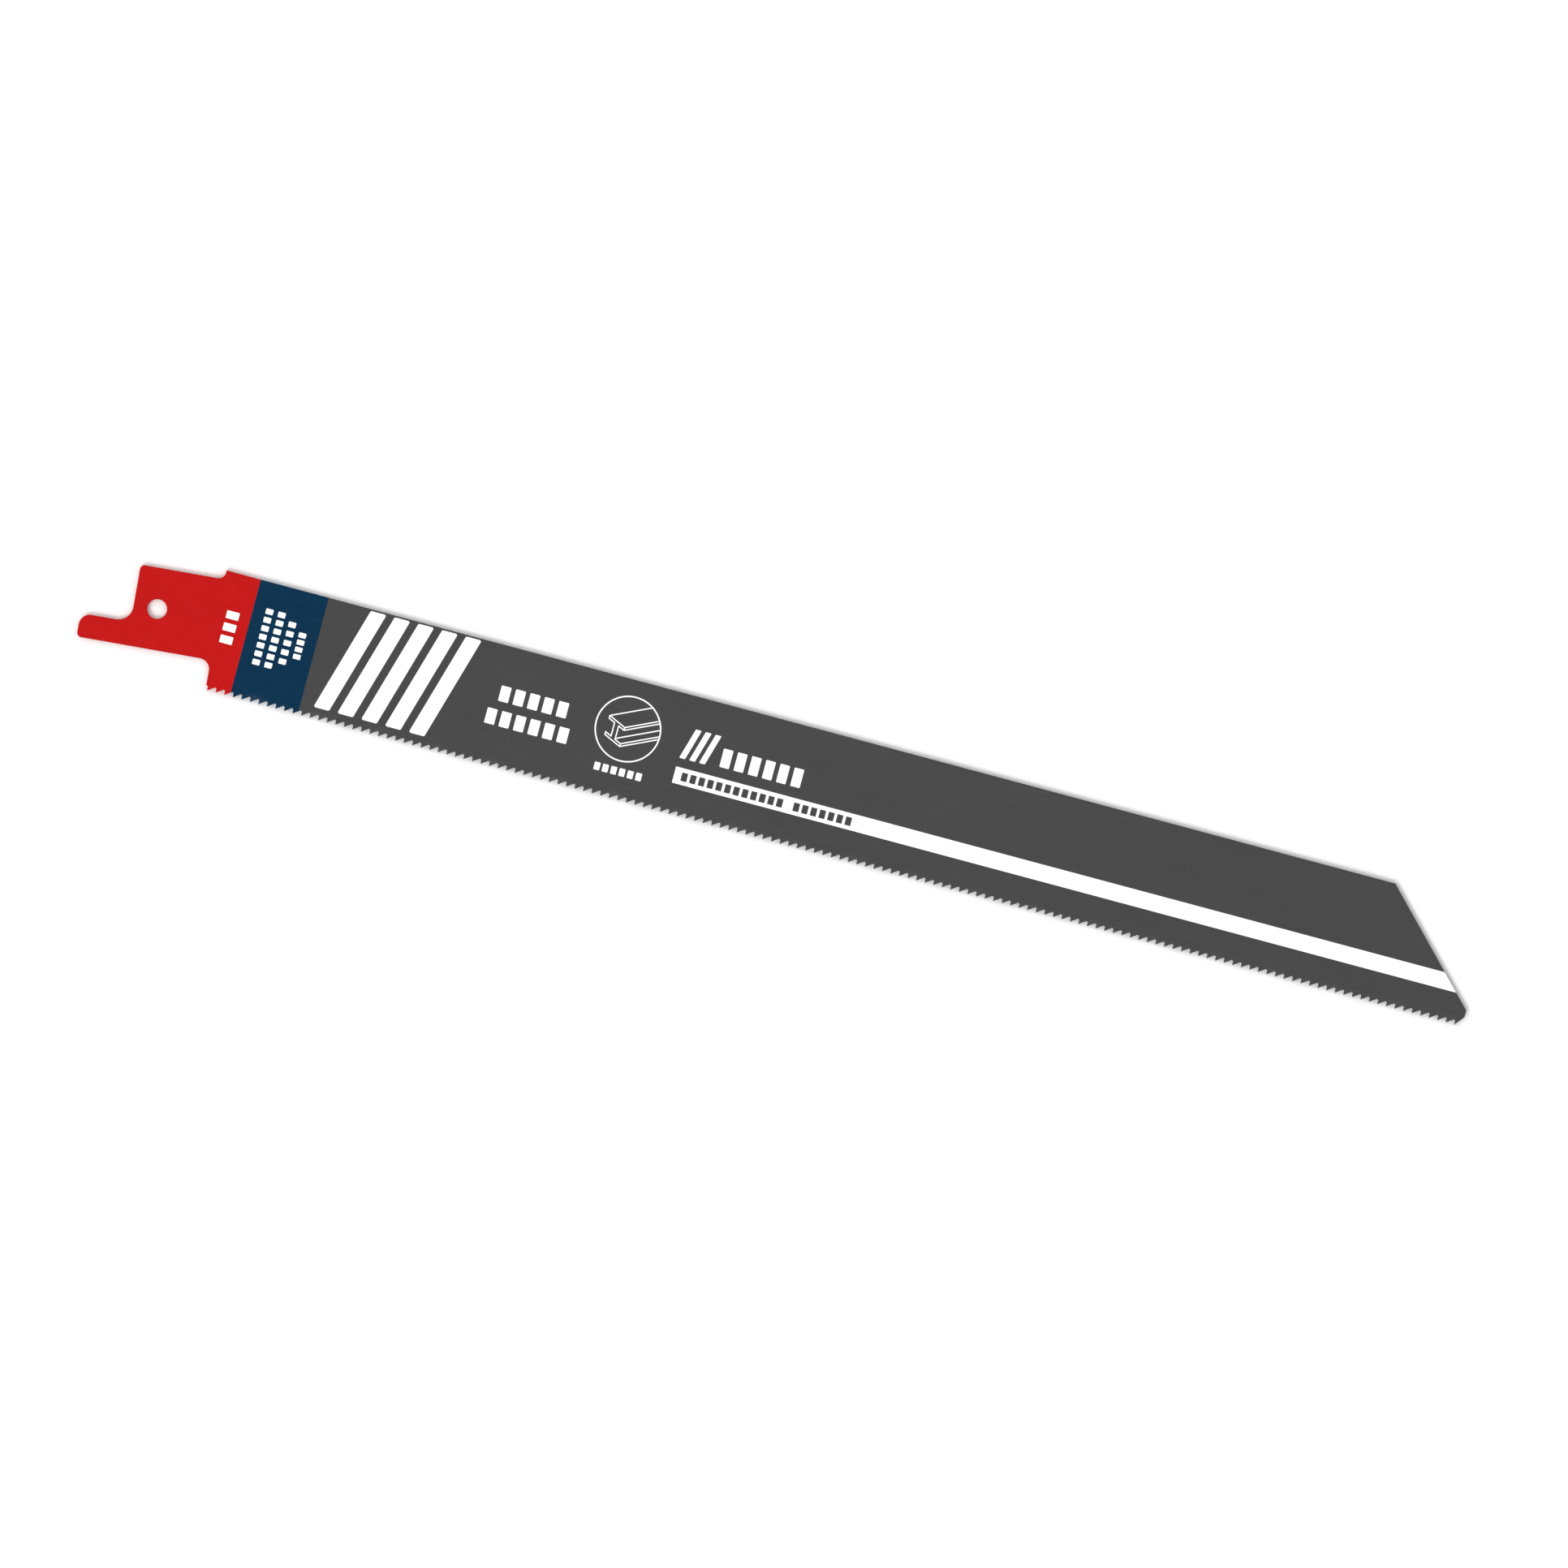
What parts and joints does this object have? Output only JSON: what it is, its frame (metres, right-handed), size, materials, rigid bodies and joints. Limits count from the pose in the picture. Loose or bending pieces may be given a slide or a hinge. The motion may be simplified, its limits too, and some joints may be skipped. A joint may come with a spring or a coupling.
{
  "type": "reciprocating saw blade",
  "caption": "Flat reciprocating saw blade with a fine wavy-set toothed edge, a slanted tip, and a tilted shank with a round hole and a nose, lacquered in red, blue and dark grey.",
  "frame": {"origin": "centre of the shank hole, on the middle plane of the plate", "axes": "+X along the teeth from the shank to the slanted tip, +Y from the teeth to the back edge, +Z out of the plate along the shank hole"},
  "size_m": [0.228, 0.0192, 0.0012],
  "materials": {
    "blade_lacquer": "semi-gloss lacquer over rolled steel, in a red, a blue and a dark grey field",
    "white_print": "white screen print on the lacquer"
  },
  "bodies": {
    "root": {"blade": "blade_lacquer"}
  },
  "joints": []
}
